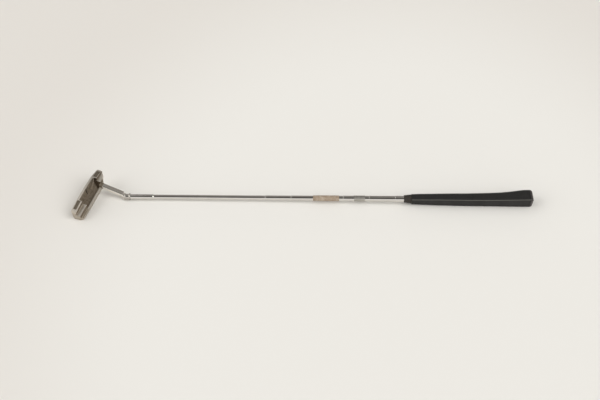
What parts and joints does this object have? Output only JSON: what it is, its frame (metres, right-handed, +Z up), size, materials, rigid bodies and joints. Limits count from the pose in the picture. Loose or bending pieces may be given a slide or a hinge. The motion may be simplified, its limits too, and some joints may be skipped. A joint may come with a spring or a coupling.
{
  "type": "golf putter",
  "caption": "Right-handed golf putter lying on its face: cavity-back cast blade, forward-leaning neck, beaded collar, stepped chrome steel shaft with two bands, pistol grip.",
  "frame": {"origin": "bottom centre of the bounding box of the putter as it lies face down on a floor", "axes": "+X runs level along the shaft from the head to the butt, +Z is up, and -Y is the side that the toe reaches to"},
  "size_m": [0.9072, 0.1118, 0.0392],
  "materials": {
    "cast_steel": "satin, softly blasted casting",
    "toe_weight_metal": "matt dark fill",
    "heel_weight_metal": "matt dark fill",
    "neck_steel": "satin, ground along the bar",
    "collar_steel": "turned and polished",
    "shaft_chrome": "bright chrome plate",
    "tan_paper": "matt",
    "silver_foil": "satin foil",
    "mouth_rubber": "matt, worn",
    "tape_paper": "matt, sticky",
    "grip_rubber": "matt, fine grain",
    "cap_rubber": "satin"
  },
  "bodies": {
    "root": {"head_casting": "cast_steel", "toe_weight": "toe_weight_metal", "heel_weight": "heel_weight_metal", "neck": "neck_steel", "hosel_collar": "collar_steel", "shaft": "shaft_chrome", "shaft_band_paper": "tan_paper", "shaft_band_foil": "silver_foil", "grip_mouth": "mouth_rubber", "grip_tape": "tape_paper", "grip": "grip_rubber", "grip_cap": "cap_rubber"}
  },
  "joints": []
}
